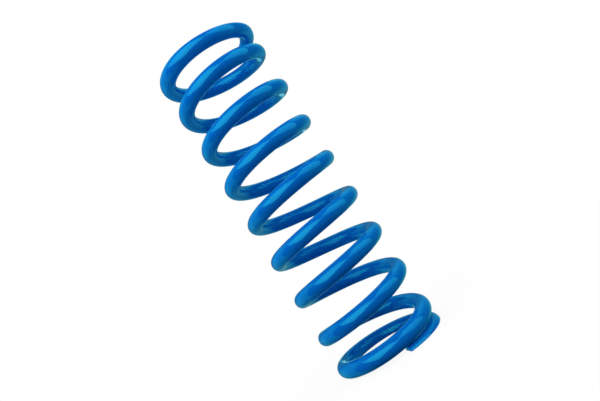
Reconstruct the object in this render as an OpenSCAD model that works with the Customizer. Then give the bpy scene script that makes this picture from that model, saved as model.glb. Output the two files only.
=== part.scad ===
// Coilover compression spring: one round steel wire wound right-handed into an open coil,
// with both ends closed against the next turn and ground flat.
// The spring stands on its lower seat at z = 0, with the axis of the coil on Z.

/* [Coil] */
// Clear diameter inside the coil
inner_d = 69.85; // [50:0.05:100]
// Diameter of the painted wire
wire_d = 13.35; // [9:0.05:18]
// Free length from seat to seat
free_length = 296.4; // [220:0.1:400]
// Turns of wire from tip to tip
total_turns = 9.56; // [7:0.01:11]

/* [Closed ends] */
// Turns at each end that lie closed before the pitch begins to open
closed_turns = 0.7; // [0.45:0.01:0.9]
// Turns over which the pitch opens to its full value
opening_turns = 0.63; // [0.4:0.01:1]
// Gap between each tip and the turn beside it
tip_gap = 0.25; // [0.2:0.05:2]
// Thickness of wire that the grinding leaves at each tip
tip_thickness = 3.4; // [2:0.1:6]
// Angle of the lower tip about Z, counted from +X
lower_tip_angle = -77.6; // [-180:0.2:180]

/* [Facets] */
// Flat sides around the section of the wire
wire_sides = 16; // [8:4:16]
// Rings of facets in one turn
rings_per_turn = 36; // [24:4:40]

/* [Hidden] */
// Radius of the wire, and of the helix that its centre follows
wire_r = wire_d / 2;
coil_r = inner_d / 2 + wire_r;

// Share of the first turn's rise that comes from the pitch opening before the turn is complete
early_share = opening_turns * eased_total((1 - closed_turns) / opening_turns);
// Turns at each end that the closed pitch stands for, half of the opening included
end_turns = closed_turns + opening_turns / 2;
// Rise of the first turn: the wire lies beside its own tip, a small gap away
first_rise = wire_d + tip_gap;
// Rise of the wire's centre from tip to tip: each tip's centre lies beyond its ground seat
tip_depth = wire_r - tip_thickness;
centre_rise = free_length + 2 * tip_depth;
// Pitch of the free turns, and of the closed ends, from the two rises above
free_pitch = (centre_rise * (1 - early_share) - 2 * end_turns * first_rise)
    / (total_turns * (1 - early_share) - 2 * end_turns);
closed_pitch = (first_rise - early_share * free_pitch) / (1 - early_share);

// Angles of the rings: one at each tip, and even steps about Z between them
ring_step = 360 / rings_per_turn;
upper_tip_angle = lower_tip_angle + 360 * total_turns;
first_step = floor(lower_tip_angle / ring_step) + 1;
last_step = ceil(upper_tip_angle / ring_step) - 1;
ring_angles = concat(
    [lower_tip_angle],
    [for (i = [first_step:last_step]) i * ring_step],
    [upper_tip_angle]
);

// Size of the blocks that stand for the metal ground off the two ends
ground_width = 2 * (coil_r + wire_d);
ground_depth = 2 * wire_d;

paint_colour = "#0760A6";

// Smooth step from 0 to 1 over the opening, and its running total
function eased(v) = let (w = min(max(v, 0), 1)) 3 * pow(w, 2) - 2 * pow(w, 3);
function eased_total(v) =
    let (w = min(max(v, 0), 1)) pow(w, 3) - pow(w, 4) / 2 + max(v - 1, 0);

// How closed the pitch is, u turns in from a tip: 1 at the tip, 0 in the free turns, and its running total
function closure(u) = 1 - eased((u - closed_turns) / opening_turns);
function closure_total(u) = u - opening_turns * eased_total((u - closed_turns) / opening_turns);

// Pitch of the wire u turns from the lower tip, and height of its centre there
function pitch_at(u) =
    free_pitch - (free_pitch - closed_pitch) * (closure(u) + closure(total_turns - u));
function height_at(u) =
    let (
        lower = closure_total(u),
        upper = closure_total(total_turns) - closure_total(total_turns - u)
    )
    free_pitch * u - (free_pitch - closed_pitch) * (lower + upper) - tip_depth;

// Round section of the wire at an angle about Z, square to the way the wire runs:
// one axis points away from the coil's axis, and the other leans back with the pitch
function wire_ring(angle) =
    let (
        u = (angle - lower_tip_angle) / 360,
        z = height_at(u),
        lean = atan2(pitch_at(u), 2 * PI * coil_r),
        out = [cos(angle), sin(angle), 0],
        up = [sin(angle) * sin(lean), -cos(angle) * sin(lean), cos(lean)]
    )
    [
        for (side = [0:wire_sides - 1])
            let (turn = 360 * side / wire_sides)
            (coil_r + wire_r * cos(turn)) * out + wire_r * sin(turn) * up + [0, 0, z]
    ];

// Two triangles between neighbouring corners of neighbouring rings
function wire_patch(ring, side) =
    let (
        here = ring * wire_sides,
        next = here + wire_sides,
        other = (side + 1) % wire_sides
    )
    [
        [here + side, here + other, next + other],
        [here + side, next + other, next + side]
    ];

// The wire before grinding, as one closed surface
module wound_wire() {
    last_ring = len(ring_angles) - 1;
    corners = [for (angle = ring_angles) each wire_ring(angle)];
    skin = [
        for (ring = [0:last_ring - 1], side = [0:wire_sides - 1])
            each wire_patch(ring, side)
    ];
    lower_end = [for (side = [wire_sides - 1:-1:0]) side];
    upper_end = [for (side = [0:wire_sides - 1]) last_ring * wire_sides + side];
    polyhedron(points = corners, faces = concat(skin, [lower_end, upper_end]));
}

// Metal that the grinding takes off below the lower seat, or above the upper one
module ground_off(z) {
    translate([-ground_width / 2, -ground_width / 2, z])
        cube([ground_width, ground_width, ground_depth]);
}

// The spring: the wound wire with its two seats ground square to the axis
module coil_spring() {
    color(paint_colour)
        difference() {
            wound_wire();
            ground_off(-ground_depth);
            ground_off(free_length);
        }
}

coil_spring();
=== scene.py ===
"""Looks of the coilover spring.

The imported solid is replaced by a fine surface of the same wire: a round section carried along the
coil's helix, with closed ends, ground seats and eased edges. The wire wears one gloss blue coat, and
stands on a plain pale floor in a studio with lit walls and two soft boxes. Everything is in metres, in
the frame of the solids.
"""

from __future__ import annotations

import logging
import math
from collections.abc import Sequence
from dataclasses import dataclass, field
from enum import Enum
from typing import Any

import bpy
import numpy as np
from mathutils import Matrix, Vector
from numpy.typing import NDArray

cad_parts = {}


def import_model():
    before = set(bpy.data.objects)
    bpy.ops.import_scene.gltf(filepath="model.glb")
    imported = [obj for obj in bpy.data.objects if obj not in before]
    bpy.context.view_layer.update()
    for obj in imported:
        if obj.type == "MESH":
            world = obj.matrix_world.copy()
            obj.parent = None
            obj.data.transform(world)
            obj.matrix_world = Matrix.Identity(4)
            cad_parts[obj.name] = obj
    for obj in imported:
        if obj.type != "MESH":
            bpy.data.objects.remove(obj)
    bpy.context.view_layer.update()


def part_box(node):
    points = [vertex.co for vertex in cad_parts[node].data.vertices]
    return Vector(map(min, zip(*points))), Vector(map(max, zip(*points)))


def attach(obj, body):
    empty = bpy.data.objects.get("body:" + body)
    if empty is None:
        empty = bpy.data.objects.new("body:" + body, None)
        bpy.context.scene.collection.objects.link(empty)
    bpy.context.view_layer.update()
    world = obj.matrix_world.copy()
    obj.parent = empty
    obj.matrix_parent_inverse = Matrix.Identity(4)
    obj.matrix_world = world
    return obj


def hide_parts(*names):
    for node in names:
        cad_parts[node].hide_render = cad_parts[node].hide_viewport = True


log = logging.getLogger("coil_spring")

Array = NDArray[np.float64]
Amount = Array | float
Corners = NDArray[np.int64]
Colour = tuple[float, float, float, float]
Point = tuple[float, float, float]
Span = tuple[float, float]
Feed = bpy.types.NodeSocket | float | Colour

PHOTO_WIDTH = 600
MM = 0.001
WHITE: Colour = (1.0, 1.0, 1.0, 1.0)
# Watts for each square metre of a lamp's face that looks white
LAMP_WATTS = 4.0


class Socket(Enum):
    """Kinds of socket on a node group."""

    COLOUR = "NodeSocketColor"
    VALUE = "NodeSocketFloat"


class Axis(Enum):
    """The frame's axes, as a direction's parts are named."""

    X = "X"
    Y = "Y"
    Z = "Z"


class Maths(Enum):
    """Sums that a Math node works out."""

    ADD = "ADD"
    SUBTRACT = "SUBTRACT"
    MULTIPLY = "MULTIPLY"
    MULTIPLY_ADD = "MULTIPLY_ADD"
    MAXIMUM = "MAXIMUM"


class Blend(Enum):
    """Ways that a second colour comes in over a first."""

    COVER = "MIX"
    MULTIPLY = "MULTIPLY"


class Ray(Enum):
    """Kinds of ray that the studio tells apart, as the Light Path node names them."""

    CAMERA = "Is Camera Ray"
    MIRROR = "Is Glossy Ray"
    SEE_THROUGH = "Is Transmission Ray"


class Tip(Enum):
    """The two cut ends of the wire, with the way that each one faces along it."""

    LOWER = -1
    UPPER = 1


def mesh_from_faces(name: str, points: Array, quads: Corners, triangles: Corners) -> bpy.types.Mesh:
    """Puts whole arrays of points and faces into a smooth mesh.

    Args:
        name: Name of the mesh.
        points: Corner positions, one row each.
        quads: Corner numbers of the four-sided faces, outward side anticlockwise.
        triangles: Corner numbers of the three-sided faces, likewise.

    Returns:
        The finished mesh.
    """
    corners = np.concatenate([quads.ravel(), triangles.ravel()])
    sides = np.concatenate([np.full(len(quads), 4), np.full(len(triangles), 3)])
    starts = np.concatenate([[0], np.cumsum(sides)[:-1]])
    mesh = bpy.data.meshes.new(name)
    mesh.vertices.add(len(points))
    mesh.vertices.foreach_set("co", points.ravel())
    mesh.loops.add(len(corners))
    mesh.loops.foreach_set("vertex_index", corners)
    mesh.polygons.add(len(sides))
    mesh.polygons.foreach_set("loop_start", starts)
    mesh.polygons.foreach_set("use_smooth", np.ones(len(sides), dtype=bool))
    mesh.update(calc_edges=True)
    mesh.validate()
    return mesh


def link_object(name: str, data: bpy.types.ID) -> bpy.types.Object:
    """Makes an object of some data at the origin and puts it in the scene.

    Args:
        name: Name of the object.
        data: Mesh, camera or light that the object shows.

    Returns:
        The new object.
    """
    made = bpy.data.objects.new(name, data)
    bpy.context.scene.collection.objects.link(made)
    return made


class NodeSheet:
    """A node tree being filled, with short calls for adding and joining nodes.

    A colour Mix node's sockets go by their places, because their names repeat.
    """

    MIX_INPUTS = (0, 6, 7)
    MIX_RESULT = 2

    def __init__(self, tree: bpy.types.NodeTree) -> None:
        """Takes over a tree and clears it."""
        self.tree = tree
        tree.nodes.clear()

    def add(self, kind: str, **settings: Any) -> bpy.types.Node:
        """Adds a node.

        Args:
            kind: Blender's name of the node's type.
            **settings: Properties of the node, by name.

        Returns:
            The new node.
        """
        node = self.tree.nodes.new(kind)
        for key, value in settings.items():
            setattr(node, key, value)
        return node

    def join(self, source: bpy.types.NodeSocket, target: bpy.types.NodeSocket) -> None:
        """Links an output to an input."""
        self.tree.links.new(source, target)

    def feed(self, value: Feed, target: bpy.types.NodeSocket) -> None:
        """Links an input to an output socket, or sets it to a fixed value.

        Args:
            value: The output socket, or the number or colour.
            target: The input.
        """
        if isinstance(value, bpy.types.NodeSocket):
            self.join(value, target)
        else:
            target.default_value = value

    def math(self, operation: Maths, *values: Feed) -> bpy.types.NodeSocket:
        """Adds a Math node.

        Args:
            operation: Which sum it works out.
            *values: Its inputs in order, each a number or an output socket.

        Returns:
            The result's socket.
        """
        node = self.add("ShaderNodeMath", operation=operation.value)
        for value, place in zip(values, node.inputs):
            self.feed(value, place)
        return node.outputs[0]

    def remap(self, value: bpy.types.NodeSocket, span: Span, to: Span) -> bpy.types.NodeSocket:
        """Adds a Map Range node with a smooth step.

        Args:
            value: The socket to read.
            span: The two values between which it changes.
            to: What those two become.

        Returns:
            The result's socket.
        """
        node = self.add("ShaderNodeMapRange", interpolation_type="SMOOTHSTEP")
        self.join(value, node.inputs["Value"])
        node.inputs["From Min"].default_value, node.inputs["From Max"].default_value = span
        node.inputs["To Min"].default_value, node.inputs["To Max"].default_value = to
        return node.outputs["Result"]

    def noise(self, place: bpy.types.NodeSocket, scale: Feed, detail: float = 1.0) -> bpy.types.NodeSocket:
        """Adds smooth noise in space.

        Args:
            place: The coordinates to read.
            scale: How many of its lumps go into a unit of them, a number or an output socket.
            detail: How many finer layers lie on it.

        Returns:
            The noise, about 0.3 to 0.7.
        """
        node = self.add("ShaderNodeTexNoise", noise_dimensions="3D")
        node.inputs["Detail"].default_value = detail
        self.join(place, node.inputs["Vector"])
        self.feed(scale, node.inputs["Scale"])
        return node.outputs["Fac"]

    def mix(
        self, share: bpy.types.NodeSocket, first: Feed, second: Feed, blend: Blend
    ) -> bpy.types.NodeSocket:
        """Adds a Mix node for colours.

        Args:
            share: How much of the second colour comes in.
            first: The colour under it, fixed or an output socket.
            second: The colour over it, likewise.
            blend: The way that they mix.

        Returns:
            The mixed colour's socket.
        """
        node = self.add("ShaderNodeMix", data_type="RGBA", blend_type=blend.value)
        for value, place in zip((share, first, second), self.MIX_INPUTS):
            self.feed(value, node.inputs[place])
        return node.outputs[self.MIX_RESULT]


def new_group(
    name: str, inputs: dict[str, Socket], outputs: dict[str, Socket]
) -> tuple[NodeSheet, bpy.types.Node, bpy.types.Node]:
    """Makes an empty shader node group with named sockets.

    Args:
        name: Name of the group.
        inputs: Kind of each input, by name.
        outputs: Kind of each output, by name.

    Returns:
        The group's sheet, its input node and its output node.
    """
    tree = bpy.data.node_groups.new(name, "ShaderNodeTree")
    for in_out, sockets in (("INPUT", inputs), ("OUTPUT", outputs)):
        for label, kind in sockets.items():
            tree.interface.new_socket(name=label, in_out=in_out, socket_type=kind.value)
    sheet = NodeSheet(tree)
    return sheet, sheet.add("NodeGroupInput"), sheet.add("NodeGroupOutput")


def coat_skin_group() -> bpy.types.NodeTree:
    """The skin of a sprayed and baked coat, from Object coordinates.

    Three sizes of smooth noise make it: fine, broad (three fine ones wide) and film. Height is the orange
    peel, the fine noise plus the broad one. Colour goes from the deep film's to the thin film's with the
    film noise, and Haze from clear to hazy with the broad one.

    Returns:
        The node group.
    """
    broad_share = 0.3
    broad_weight = 1.6
    middle = (0.3, 0.7)
    sheet, given, out = new_group(
        "coat_skin",
        {
            "Deep": Socket.COLOUR,
            "Thin": Socket.COLOUR,
            "Clear": Socket.VALUE,
            "Hazy": Socket.VALUE,
            "Peel scale": Socket.VALUE,
            "Film scale": Socket.VALUE,
        },
        {"Colour": Socket.COLOUR, "Haze": Socket.VALUE, "Height": Socket.VALUE},
    )
    place = sheet.add("ShaderNodeTexCoord").outputs["Object"]
    broad_scale = sheet.math(Maths.MULTIPLY, given.outputs["Peel scale"], broad_share)
    fine = sheet.noise(place, given.outputs["Peel scale"])
    broad = sheet.noise(place, broad_scale)
    film = sheet.noise(place, given.outputs["Film scale"])
    sheet.join(sheet.math(Maths.MULTIPLY_ADD, broad, broad_weight, fine), out.inputs["Height"])
    thinness = sheet.remap(film, middle, (0.0, 1.0))
    tint = sheet.mix(thinness, given.outputs["Deep"], given.outputs["Thin"], Blend.COVER)
    sheet.join(tint, out.inputs["Colour"])
    gain = sheet.math(Maths.SUBTRACT, given.outputs["Hazy"], given.outputs["Clear"])
    dullness = sheet.remap(broad, middle, (0.0, 1.0))
    haze = sheet.math(Maths.MULTIPLY_ADD, dullness, gain, given.outputs["Clear"])
    sheet.join(haze, out.inputs["Haze"])
    return sheet.tree


@dataclass(frozen=True)
class GlossCoat:
    """Gloss blue coat on the wire.

    A deep blue body lies under a cyan gloss, and over both a thin candy layer deepens the blue towards the
    wire's edges. Orange peel is bump. The ground seats are duller, and the streaks of the grinding show in
    their colour and their bump. Scales count lumps in a metre.
    """

    deep: Colour = (0.007, 0.116, 0.475, 1.0)
    thin: Colour = (0.008, 0.125, 0.505, 1.0)
    gloss_tint: Colour = (0.20, 1.0, 1.0, 1.0)
    gloss_level: float = 0.82
    refraction: float = 1.5
    clear: float = 0.03
    hazy: float = 0.05
    candy_tint: Colour = (0.18, 0.98, 1.0, 1.0)
    candy_refraction: float = 1.04
    candy_haze: float = 0.04
    peel_scale: float = 480.0
    peel_depth: float = 0.001 * MM
    film_scale: float = 17.0
    lay_scale: Point = (650.0, 22.0, 22.0)
    lay_depth: float = 0.012 * MM
    lay_shade: Colour = (0.68, 0.79, 0.86, 1.0)
    lay_span: Span = (0.36, 0.68)
    lay_detail: float = 2.0
    seat_haze: float = 0.14

    def material(self, seat_attribute: str) -> bpy.types.Material:
        """Builds the material.

        Args:
            seat_attribute: Name of the mesh attribute that is 1 on the ground seats.

        Returns:
            The finished material.
        """
        made = bpy.data.materials.new("blue_gloss_coat")
        made.use_nodes = True
        made.diffuse_color = self.deep
        sheet = NodeSheet(made.node_tree)
        shader = sheet.add("ShaderNodeBsdfPrincipled")
        shader.inputs["IOR"].default_value = self.refraction
        shader.inputs["Specular IOR Level"].default_value = self.gloss_level
        shader.inputs["Specular Tint"].default_value = self.gloss_tint
        shader.inputs["Coat Weight"].default_value = 1.0
        shader.inputs["Coat IOR"].default_value = self.candy_refraction
        shader.inputs["Coat Roughness"].default_value = self.candy_haze
        shader.inputs["Coat Tint"].default_value = self.candy_tint
        skin = self._skin(sheet)
        seat = sheet.add("ShaderNodeAttribute", attribute_name=seat_attribute).outputs["Fac"]
        lay = sheet.math(Maths.MULTIPLY, self._lay(sheet), seat)
        colour = sheet.mix(lay, skin.outputs["Colour"], self.lay_shade, Blend.MULTIPLY)
        sheet.join(colour, shader.inputs["Base Color"])
        dull = sheet.math(Maths.MULTIPLY_ADD, seat, self.seat_haze, skin.outputs["Haze"])
        sheet.join(dull, shader.inputs["Roughness"])
        sheet.join(self._relief(sheet, skin.outputs["Height"], lay), shader.inputs["Normal"])
        out = sheet.add("ShaderNodeOutputMaterial")
        sheet.join(shader.outputs["BSDF"], out.inputs["Surface"])
        return made

    def _skin(self, sheet: NodeSheet) -> bpy.types.Node:
        """Places the coat's skin with this coat's values.

        Args:
            sheet: The material's nodes.

        Returns:
            The group's node.
        """
        skin = sheet.add("ShaderNodeGroup", node_tree=coat_skin_group())
        skin.inputs["Deep"].default_value = self.deep
        skin.inputs["Thin"].default_value = self.thin
        skin.inputs["Clear"].default_value = self.clear
        skin.inputs["Hazy"].default_value = self.hazy
        skin.inputs["Peel scale"].default_value = self.peel_scale
        skin.inputs["Film scale"].default_value = self.film_scale
        return skin

    def _lay(self, sheet: NodeSheet) -> bpy.types.NodeSocket:
        """Streaks of the grinding: noise drawn out along one axis of the seat.

        Args:
            sheet: The material's nodes.

        Returns:
            The streaks, from 0 to 1.
        """
        drawn = sheet.add("ShaderNodeMapping")
        drawn.inputs["Scale"].default_value = self.lay_scale
        sheet.join(sheet.add("ShaderNodeTexCoord").outputs["Object"], drawn.inputs["Vector"])
        streaks = sheet.noise(drawn.outputs["Vector"], scale=1.0, detail=self.lay_detail)
        return sheet.remap(streaks, self.lay_span, (0.0, 1.0))

    def _relief(
        self, sheet: NodeSheet, peel: bpy.types.NodeSocket, lay: bpy.types.NodeSocket
    ) -> bpy.types.NodeSocket:
        """Cuts the grinding's streaks into the seats, then lays the orange peel over all of the wire.

        Args:
            sheet: The material's nodes.
            peel: Height of the orange peel.
            lay: The streaks on the seats.

        Returns:
            The bumped normal.
        """
        normal: bpy.types.NodeSocket | None = None
        for height, depth, cut in ((lay, self.lay_depth, True), (peel, self.peel_depth, False)):
            bump = sheet.add("ShaderNodeBump", invert=cut)
            bump.inputs["Distance"].default_value = depth
            sheet.join(height, bump.inputs["Height"])
            if normal is not None:
                sheet.join(normal, bump.inputs["Normal"])
            normal = bump.outputs["Normal"]
        return normal


@dataclass
class CoilSpring:
    """The spring: one round wire wound right-handed, closed and ground at both ends.

    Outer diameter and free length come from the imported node. The sizes down to the lower tip's angle repeat
    those that the solid is wound to, the next ones shape the surface, and the last ones are worked out.
    """

    outer_d: float
    free_length: float
    wire_d: float = 13.35 * MM
    total_turns: float = 9.56
    closed_turns: float = 0.70
    opening_turns: float = 0.63
    tip_gap: float = 0.25 * MM
    tip_thickness: float = 3.4 * MM
    lower_tip_angle: float = math.radians(-77.6)
    edge_r: float = 0.15 * MM
    rings_per_turn: int = 128
    sides: int = 56
    edge_steps: int = 4
    edge_sweep: float = 0.45 * math.pi
    seat_attribute: str = "seat"
    wire_r: float = field(init=False)
    coil_r: float = field(init=False)
    tip_depth: float = field(init=False)
    free_pitch: float = field(init=False)
    closed_pitch: float = field(init=False)

    def __post_init__(self) -> None:
        """Works out the radii and the two pitches from the driving sizes."""
        self.wire_r = self.wire_d / 2
        self.coil_r = self.outer_d / 2 - self.wire_r
        self.tip_depth = self.wire_r - self.tip_thickness
        early = self.opening_turns * float(self._eased_total((1 - self.closed_turns) / self.opening_turns))
        end_turns = self.closed_turns + self.opening_turns / 2
        first_rise = self.wire_d + self.tip_gap
        centre_rise = self.free_length + 2 * self.tip_depth
        self.free_pitch = (centre_rise * (1 - early) - 2 * end_turns * first_rise) / (
            self.total_turns * (1 - early) - 2 * end_turns
        )
        self.closed_pitch = (first_rise - early * self.free_pitch) / (1 - early)

    @staticmethod
    def _eased(v: Amount) -> Array:
        """Smooth step: 3 w squared less 2 w cubed, with w held between 0 and 1."""
        w = np.clip(v, 0.0, 1.0)
        return 3 * w**2 - 2 * w**3

    @staticmethod
    def _eased_total(v: Amount) -> Array:
        """Running total of the smooth step: w cubed less half of w to the fourth, then straight on."""
        w = np.clip(v, 0.0, 1.0)
        return w**3 - w**4 / 2 + np.maximum(np.asarray(v) - 1, 0.0)

    def _closure(self, u: Array) -> Array:
        """How closed the pitch is, u turns in from a tip: 1 at the tip and 0 in the free turns."""
        return 1 - self._eased((u - self.closed_turns) / self.opening_turns)

    def _closure_total(self, u: Amount) -> Array:
        """Running total of the closure from the tip to u turns in."""
        return u - self.opening_turns * self._eased_total((u - self.closed_turns) / self.opening_turns)

    def pitch(self, u: Array) -> Array:
        """Rise per turn, u turns from the lower tip.

        Args:
            u: Turns from the lower tip.

        Returns:
            The free pitch, less what each end's closure takes off it.
        """
        closure = self._closure(u) + self._closure(self.total_turns - u)
        return self.free_pitch - (self.free_pitch - self.closed_pitch) * closure

    def height(self, u: Array) -> Array:
        """Height of the wire's centre, u turns from the lower tip.

        Args:
            u: Turns from the lower tip.

        Returns:
            The running total of the pitch, from a tip centre that lies below the lower seat.
        """
        n = self.total_turns
        lower = self._closure_total(u)
        upper = self._closure_total(n) - self._closure_total(n - u)
        return self.free_pitch * u - (self.free_pitch - self.closed_pitch) * (lower + upper) - self.tip_depth

    def _frames(self, u: Array) -> tuple[Array, Array, Array, Array]:
        """Centre and axes of the wire's section.

        The centre goes round the helix. One axis points away from the coil's axis, one runs along the
        wire, leaning up by the pitch over the turn's length, and one is square to both, pointing up.

        Args:
            u: Turns from the lower tip.

        Returns:
            Centre, outward axis, upward axis and running axis, one row for each u.
        """
        turn = self.lower_tip_angle + 2 * math.pi * u
        c, s, flat = np.cos(turn), np.sin(turn), np.zeros_like(turn)
        lean = np.arctan2(self.pitch(u), 2 * math.pi * self.coil_r)
        centre = np.stack([self.coil_r * c, self.coil_r * s, self.height(u)], axis=1)
        out = np.stack([c, s, flat], axis=1)
        along = np.stack([-s * np.cos(lean), c * np.cos(lean), np.sin(lean)], axis=1)
        up = np.cross(out, along)
        return centre, out, up, along

    def _rings(self, u: Array, inset: Array, forward: Array) -> tuple[Array, Array]:
        """Rings of points round the wire, cut off at the two ground seats.

        In the section's plane the outline is a core carried out by the edge radius along each point's own
        normal. The core is a circle that is smaller by that radius, with its height held between the two
        seats and its half width taken from the circle at that height, so the seats come out flat and their
        edges round. An inset shrinks the outline evenly, which rounds over the tips.

        Args:
            u: Turns from the lower tip, one for each ring.
            inset: How far each ring's outline is drawn in.
            forward: How far each ring is carried along the wire.

        Returns:
            The points, by ring and side, and a mask that is 1 on the seats.
        """
        normal = 2 * math.pi * (np.arange(self.sides) + 0.5) / self.sides
        across, above = np.cos(normal)[None, :], np.sin(normal)[None, :]
        centre, out, up, along = self._frames(u)
        level = up[:, 2:3]
        floor = (0.0 - centre[:, 2:3]) / level + self.edge_r
        ceiling = (self.free_length - centre[:, 2:3]) / level - self.edge_r
        core_r = self.wire_r - self.edge_r
        free = core_r * above
        held = np.clip(free, floor, ceiling)
        half = np.sqrt(np.maximum(core_r**2 - held**2, 0.0))
        skin = (self.edge_r - inset)[:, None]
        outward = np.sign(across) * half + skin * across
        upward = held + skin * above
        points = centre[:, None, :] + outward[..., None] * out[:, None, :]
        points += upward[..., None] * up[:, None, :]
        points += forward[:, None, None] * along[:, None, :]
        nearest = math.cos(2 * math.pi / self.sides)
        seat = (np.abs(held - free) > 0.0) & (np.abs(above) > nearest)
        return points, seat.astype(float)

    def _tip_rings(self, tip: Tip) -> tuple[Array, Array, Array]:
        """Turns, inset and travel of the rings that round a tip over.

        The rings go nearly a quarter way round the edge radius: the travel is its sine, and the inset is
        what its cosine loses.

        Args:
            tip: Which end of the wire.

        Returns:
            Turns from the lower tip, inset and travel, in order along the wire.
        """
        sweep = np.linspace(0.0, self.edge_sweep, self.edge_steps + 1)[1:]
        inset = self.edge_r * (1 - np.cos(sweep))
        travel = tip.value * self.edge_r * np.sin(sweep)
        at = self._first_turn() if tip is Tip.LOWER else self.total_turns - self._first_turn()
        turns = np.full(self.edge_steps, at)
        order = slice(None, None, tip.value)
        return turns[order], inset[order], travel[order]

    def _first_turn(self) -> float:
        """Turns from a tip to the first whole ring, an edge radius along the wire."""
        return self.edge_r / (2 * math.pi * self.coil_r)

    def build(self) -> bpy.types.Object:
        """Builds the wire's surface as one closed mesh.

        Returns:
            The wire's object, at the origin.
        """
        count = round(self.total_turns * self.rings_per_turn)
        body = np.linspace(self._first_turn(), self.total_turns - self._first_turn(), count)
        still = np.zeros(count)
        stretches = [self._tip_rings(Tip.LOWER), (body, still, still), self._tip_rings(Tip.UPPER)]
        u, inset, forward = (np.concatenate(part) for part in zip(*stretches))
        grid, seat = self._rings(u, inset, forward)
        ends = np.stack([grid[0].mean(axis=0), grid[-1].mean(axis=0)])
        points = np.concatenate([grid.reshape(-1, 3), ends])
        quads, triangles = self._faces(len(u))
        mesh = mesh_from_faces("coil_wire", points, quads, triangles)
        mask = mesh.attributes.new(self.seat_attribute, "FLOAT", "POINT")
        mask.data.foreach_set("value", np.concatenate([seat.ravel(), [0.0, 0.0]]).astype(np.float32))
        return link_object("coil_wire", mesh)

    def _faces(self, rings: int) -> tuple[Corners, Corners]:
        """Corner numbers of the skin and of the two end fans.

        Args:
            rings: Number of rings along the wire.

        Returns:
            Quads between neighbouring rings, and triangles from each end ring to its middle.
        """
        ring, side = np.meshgrid(np.arange(rings - 1), np.arange(self.sides), indexing="ij")
        other = (side + 1) % self.sides
        here, there = ring * self.sides, (ring + 1) * self.sides
        quads = np.stack([here + side, there + side, there + other, here + other], axis=-1).reshape(-1, 4)
        rim = np.arange(self.sides)
        following = (rim + 1) % self.sides
        last = (rings - 1) * self.sides
        middle = rings * self.sides
        lower = np.stack([rim, following, np.full(self.sides, middle)], axis=1)
        upper = np.stack([last + following, last + rim, np.full(self.sides, middle + 1)], axis=1)
        return quads, np.concatenate([lower, upper])

    def dress(self, wire: bpy.types.Object, coat: GlossCoat) -> None:
        """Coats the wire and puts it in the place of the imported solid.

        Args:
            wire: The wire's object.
            coat: Its finish.
        """
        wire.data.materials.append(coat.material(self.seat_attribute))
        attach(wire, "root")
        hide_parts("coil_spring")


@dataclass(frozen=True)
class SoftBox:
    """A rectangular soft light.

    Its face lies along two directions, across and up, and shines the other way from their cross product.
    Radiance is how bright the face looks at its hot spot, where 1 is white, and it fades away from there.
    The hot spot is given as shares of the width and the height.
    """

    name: str
    centre: Point
    across: Point
    up: Point
    width: float
    height: float
    radiance: float
    hot_spot: Span
    fade_reach: float = 1.1
    fade_share: float = 0.4

    def place(self) -> bpy.types.Object:
        """Makes the light.

        Returns:
            The light's object.
        """
        data = bpy.data.lights.new(self.name, "AREA")
        data.shape = "RECTANGLE"
        data.size, data.size_y = self.width, self.height
        data.energy = LAMP_WATTS * self.radiance * self.width * self.height
        self._fade(data)
        lamp = link_object(self.name, data)
        x = Vector(self.across).normalized()
        z = x.cross(Vector(self.up)).normalized()
        turn = Matrix((x, z.cross(x), z)).transposed().to_4x4()
        lamp.matrix_world = Matrix.Translation(self.centre) @ turn
        return lamp

    def _fade(self, data: bpy.types.Light) -> None:
        """Dims the face with the distance from its hot spot, in metres on the face.

        Args:
            data: The light whose nodes are filled.
        """
        data.use_nodes = True
        sheet = NodeSheet(data.node_tree)
        share = sheet.add("ShaderNodeNewGeometry").outputs["Parametric"]
        offset = sheet.add("ShaderNodeVectorMath", operation="SUBTRACT")
        sheet.join(share, offset.inputs[0])
        offset.inputs[1].default_value = (*self.hot_spot, 0.0)
        metres = sheet.add("ShaderNodeVectorMath", operation="MULTIPLY")
        sheet.join(offset.outputs["Vector"], metres.inputs[0])
        metres.inputs[1].default_value = (self.width, self.height, 0.0)
        reach = sheet.add("ShaderNodeVectorMath", operation="LENGTH")
        sheet.join(metres.outputs["Vector"], reach.inputs[0])
        glow = sheet.add("ShaderNodeEmission")
        glow.inputs["Color"].default_value = WHITE
        level = sheet.remap(reach.outputs["Value"], (0.0, self.fade_reach), (1.0, self.fade_share))
        sheet.join(level, glow.inputs["Strength"])
        out = sheet.add("ShaderNodeOutputLight")
        sheet.join(glow.outputs["Emission"], out.inputs["Surface"])


@dataclass(frozen=True)
class SoftEdge:
    """An edge of a lit wall: a direction's part along an axis where the wall is out, and where it is full."""

    axis: Axis
    out: float
    full: float


@dataclass(frozen=True)
class LitWall:
    """A wall, floor or ceiling of the room, by the directions that it fills.

    Its light is the level times the product of its soft edges. Mirror rays meet a share of it.
    """

    level: float
    mirrored: float
    edges: tuple[SoftEdge, ...]

    def light(
        self, sheet: NodeSheet, direction: bpy.types.Node, mirror: bpy.types.NodeSocket
    ) -> bpy.types.NodeSocket:
        """Adds the nodes of the wall's light.

        Args:
            sheet: The world's nodes.
            direction: Node that splits the direction of view into its parts.
            mirror: Socket that is 1 for mirror rays.

        Returns:
            The wall's light in that direction.
        """
        result = sheet.math(Maths.MULTIPLY_ADD, mirror, self.level * (self.mirrored - 1.0), self.level)
        for edge in self.edges:
            part = sheet.remap(direction.outputs[edge.axis.value], (edge.out, edge.full), (0.0, 1.0))
            result = sheet.math(Maths.MULTIPLY, part, result)
        return result


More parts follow.
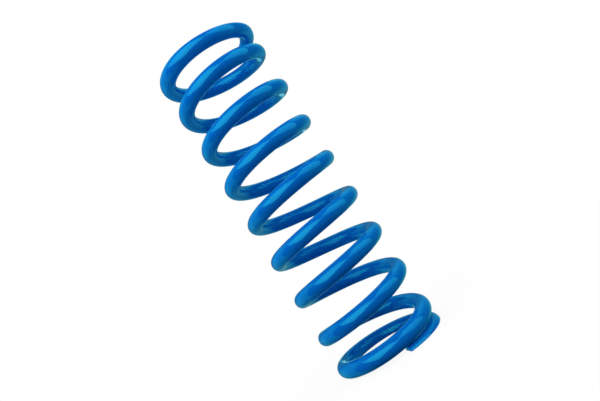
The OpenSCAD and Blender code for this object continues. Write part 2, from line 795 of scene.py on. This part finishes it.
BACK_WALL = LitWall(
    level=0.57,
    mirrored=0.40,
    edges=(SoftEdge(Axis.Y, 0.35, 0.75), SoftEdge(Axis.Z, 0.95, 0.60), SoftEdge(Axis.Z, -1.00, -0.70)),
)
LEFT_WALL = LitWall(
    level=1.70,
    mirrored=0.36,
    edges=(
        SoftEdge(Axis.X, -0.45, -0.85),
        SoftEdge(Axis.Y, -0.02, 0.08),
        SoftEdge(Axis.Z, 0.75, 0.45),
        SoftEdge(Axis.Z, -0.92, -0.55),
    ),
)
LEFT_FOOT = LitWall(
    level=0.80,
    mirrored=0.33,
    edges=(
        SoftEdge(Axis.X, -0.10, -0.40),
        SoftEdge(Axis.Y, -0.25, 0.00),
        SoftEdge(Axis.Z, -0.58, -0.75),
        SoftEdge(Axis.Z, -1.00, -0.80),
    ),
)
RIGHT_WALL = LitWall(
    level=0.95,
    mirrored=0.29,
    edges=(
        SoftEdge(Axis.X, 0.20, 0.50),
        SoftEdge(Axis.Y, -0.60, 0.55),
        SoftEdge(Axis.Z, 0.90, 0.65),
        SoftEdge(Axis.Z, -0.95, -0.62),
    ),
)
RIGHT_FOOT = LitWall(
    level=0.50,
    mirrored=0.38,
    edges=(
        SoftEdge(Axis.X, 0.25, 0.85),
        SoftEdge(Axis.Y, -0.75, -0.25),
        SoftEdge(Axis.Y, 0.40, 0.00),
        SoftEdge(Axis.Z, 0.05, -0.20),
        SoftEdge(Axis.Z, -0.95, -0.70),
    ),
)
CEILING = LitWall(
    level=0.66,
    mirrored=0.90,
    edges=(SoftEdge(Axis.Y, -0.40, 0.40), SoftEdge(Axis.Z, 0.35, 0.70)),
)
BACK_FOOT = LitWall(
    level=1.00,
    mirrored=0.15,
    edges=(SoftEdge(Axis.Y, 0.40, 0.80), SoftEdge(Axis.Z, 0.05, -0.20), SoftEdge(Axis.Z, -0.85, -0.55)),
)

LEFT_BOX = SoftBox(
    name="left_soft_box",
    centre=(-0.322, -0.552, 0.752),
    across=(0.531, -0.403, -0.745),
    up=(0.642, -0.383, 0.664),
    width=1.27,
    height=1.18,
    radiance=2.38,
    hot_spot=(0.60, 0.38),
)
RIGHT_BOX = SoftBox(
    name="right_soft_box",
    centre=(0.570, -0.384, 0.294),
    across=(-0.807, 0.040, 0.590),
    up=(0.046, -0.990, 0.131),
    width=1.00,
    height=0.66,
    radiance=1.40,
    hot_spot=(0.93, 0.05),
)


@dataclass(frozen=True)
class PaleFloor:
    """Pale matt floor, which shows near white and keeps the spring's shadow."""

    half: float = 60.0
    pale: Colour = (0.90, 0.90, 0.90, 1.0)
    white: float = 0.90
    shadow_reach: Span = (0.05, 0.24)

    def lay(self) -> None:
        """Lays the floor as one square."""
        half = self.half
        corners = [(-half, -half, 0.0), (half, -half, 0.0), (half, half, 0.0), (-half, half, 0.0)]
        mesh = bpy.data.meshes.new("floor")
        mesh.from_pydata(corners, [], [(0, 1, 2, 3)])
        mesh.materials.append(self.material())
        link_object("floor", mesh)

    def material(self) -> bpy.types.Material:
        """Builds the material.

        Camera rays and see-through rays meet a matt floor under a white glow, which covers it wholly away
        from the spring. All other rays pass on to the room, so the floor throws no light up of its own.

        Returns:
            The finished material.
        """
        made = bpy.data.materials.new("pale_floor")
        made.use_nodes = True
        sheet = NodeSheet(made.node_tree)
        matt = sheet.add("ShaderNodeBsdfDiffuse")
        matt.inputs["Color"].default_value = self.pale
        white = sheet.add("ShaderNodeEmission")
        white.inputs["Color"].default_value = WHITE
        clear = sheet.add("ShaderNodeBsdfTransparent")
        reach = sheet.add("ShaderNodeVectorMath", operation="LENGTH")
        sheet.join(sheet.add("ShaderNodeTexCoord").outputs["Object"], reach.inputs[0])
        look = sheet.add("ShaderNodeMixShader")
        cover = sheet.remap(reach.outputs["Value"], self.shadow_reach, (self.white, 1.0))
        sheet.join(cover, look.inputs["Fac"])
        sheet.join(matt.outputs["BSDF"], look.inputs[1])
        sheet.join(white.outputs["Emission"], look.inputs[2])
        path = sheet.add("ShaderNodeLightPath")
        seen = sheet.math(Maths.MAXIMUM, path.outputs[Ray.CAMERA.value], path.outputs[Ray.SEE_THROUGH.value])
        mix = sheet.add("ShaderNodeMixShader")
        sheet.join(seen, mix.inputs["Fac"])
        sheet.join(clear.outputs["BSDF"], mix.inputs[1])
        sheet.join(look.outputs["Shader"], mix.inputs[2])
        out = sheet.add("ShaderNodeOutputMaterial")
        sheet.join(mix.outputs["Shader"], out.inputs["Surface"])
        return made


@dataclass
class Studio:
    """Plain pale studio: floor, lit walls, two soft boxes and the camera."""

    camera_at: Point = (-15.9 * MM, -432.0 * MM, 109.2 * MM)
    look_at: Point = (2.5 * MM, -0.1 * MM, 145.0 * MM)
    camera_roll: float = math.radians(32.70)
    focal_px: float = 501.9
    sensor: float = 36.0
    clip: Span = (0.01, 400.0)
    backdrop_edge: Span = (0.985, 0.999)
    walls: tuple[LitWall, ...] = (
        BACK_WALL,
        LEFT_WALL,
        LEFT_FOOT,
        RIGHT_WALL,
        RIGHT_FOOT,
        CEILING,
        BACK_FOOT,
    )
    boxes: tuple[SoftBox, ...] = (LEFT_BOX, RIGHT_BOX)
    floor: PaleFloor = PaleFloor()

    def build(self) -> None:
        """Makes the camera, the lights, the surround and the floor."""
        self._camera()
        for box in self.boxes:
            box.place()
        self._surround()
        self.floor.lay()
        bpy.context.scene.view_settings.view_transform = "Standard"

    def _camera(self) -> None:
        """Sets the camera at the photograph's place, looking along its axis and rolled with it."""
        data = bpy.data.cameras.new("camera")
        data.sensor_width = self.sensor
        data.lens = self.focal_px * self.sensor / PHOTO_WIDTH
        data.clip_start, data.clip_end = self.clip
        camera = link_object("camera", data)
        at, to = Vector(self.camera_at), Vector(self.look_at)
        level = (to - at).to_track_quat("-Z", "Y").to_matrix().to_4x4()
        camera.matrix_world = Matrix.Translation(at) @ level @ Matrix.Rotation(-self.camera_roll, 4, "Z")
        bpy.context.scene.camera = camera

    def _surround(self) -> None:
        """Lights the room by its walls, and shows a white backdrop.

        Camera rays and see-through rays meet white all round. Mirror rays meet it only on a small backdrop
        straight behind the spring, and a share of each lit wall elsewhere.
        """
        world = bpy.data.worlds.new("studio")
        world.use_nodes = True
        bpy.context.scene.world = world
        sheet = NodeSheet(world.node_tree)
        direction = sheet.add("ShaderNodeSeparateXYZ")
        sheet.join(sheet.add("ShaderNodeTexCoord").outputs["Generated"], direction.inputs["Vector"])
        path = sheet.add("ShaderNodeLightPath")
        mirror = path.outputs[Ray.MIRROR.value]
        behind = sheet.remap(direction.outputs[Axis.Y.value], self.backdrop_edge, (0.0, 1.0))
        level = sheet.math(Maths.MULTIPLY, behind, mirror)
        for ray in (Ray.CAMERA, Ray.SEE_THROUGH):
            level = sheet.math(Maths.MAXIMUM, level, path.outputs[ray.value])
        lit: Feed = 0.0
        for wall in self.walls:
            lit = sheet.math(Maths.ADD, wall.light(sheet, direction, mirror), lit)
        glow = sheet.add("ShaderNodeBackground")
        glow.inputs["Color"].default_value = WHITE
        sheet.join(sheet.math(Maths.MAXIMUM, level, lit), glow.inputs["Strength"])
        out = sheet.add("ShaderNodeOutputWorld")
        sheet.join(glow.outputs["Background"], out.inputs["Surface"])


def main() -> None:
    """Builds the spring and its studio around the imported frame."""
    logging.basicConfig(level=logging.INFO, format="%(name)s: %(message)s")
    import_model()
    low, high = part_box("coil_spring")
    spring = CoilSpring(outer_d=high[0] - low[0], free_length=high[2] - low[2])
    wire = spring.build()
    spring.dress(wire, GlossCoat())
    log.info("%s: %d faces, free pitch %.2f mm", wire.name, len(wire.data.polygons), spring.free_pitch / MM)
    Studio().build()


if __name__ == "__main__":
    main()
